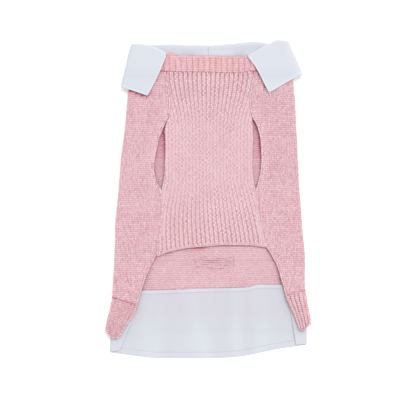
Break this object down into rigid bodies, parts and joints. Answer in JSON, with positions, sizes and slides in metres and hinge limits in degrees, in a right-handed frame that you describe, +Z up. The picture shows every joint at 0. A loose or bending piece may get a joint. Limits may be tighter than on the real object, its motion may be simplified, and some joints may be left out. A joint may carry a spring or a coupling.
{
  "type": "knitted dog sweater with shirt collar",
  "caption": "Flat-laid knitted dog pullover, belly side up, with leg slits, ribbed neck and hem bands, a shirt collar and a shirt tail.",
  "frame": {"origin": "centre of the flat underside, on the surface that the garment lies on", "axes": "+Y from the hem towards the neck, +X across the garment, to the right when the belly side is seen with the neck up, +Z up through the layers"},
  "size_m": [0.2266, 0.3492, 0.0114],
  "materials": {
    "stockinette_knit": "pink wool-blend stockinette, matt with a soft nap",
    "rib_knit": "pink wool-blend 1x1 rib, matt",
    "poplin": "white cotton poplin, matt"
  },
  "bodies": {
    "root": {"back_panel": "stockinette_knit", "belly_panel": "rib_knit", "neck_band": "rib_knit", "hem_band": "rib_knit", "shirt_tail": "poplin", "collar_left": "poplin", "collar_right": "poplin"}
  },
  "joints": []
}
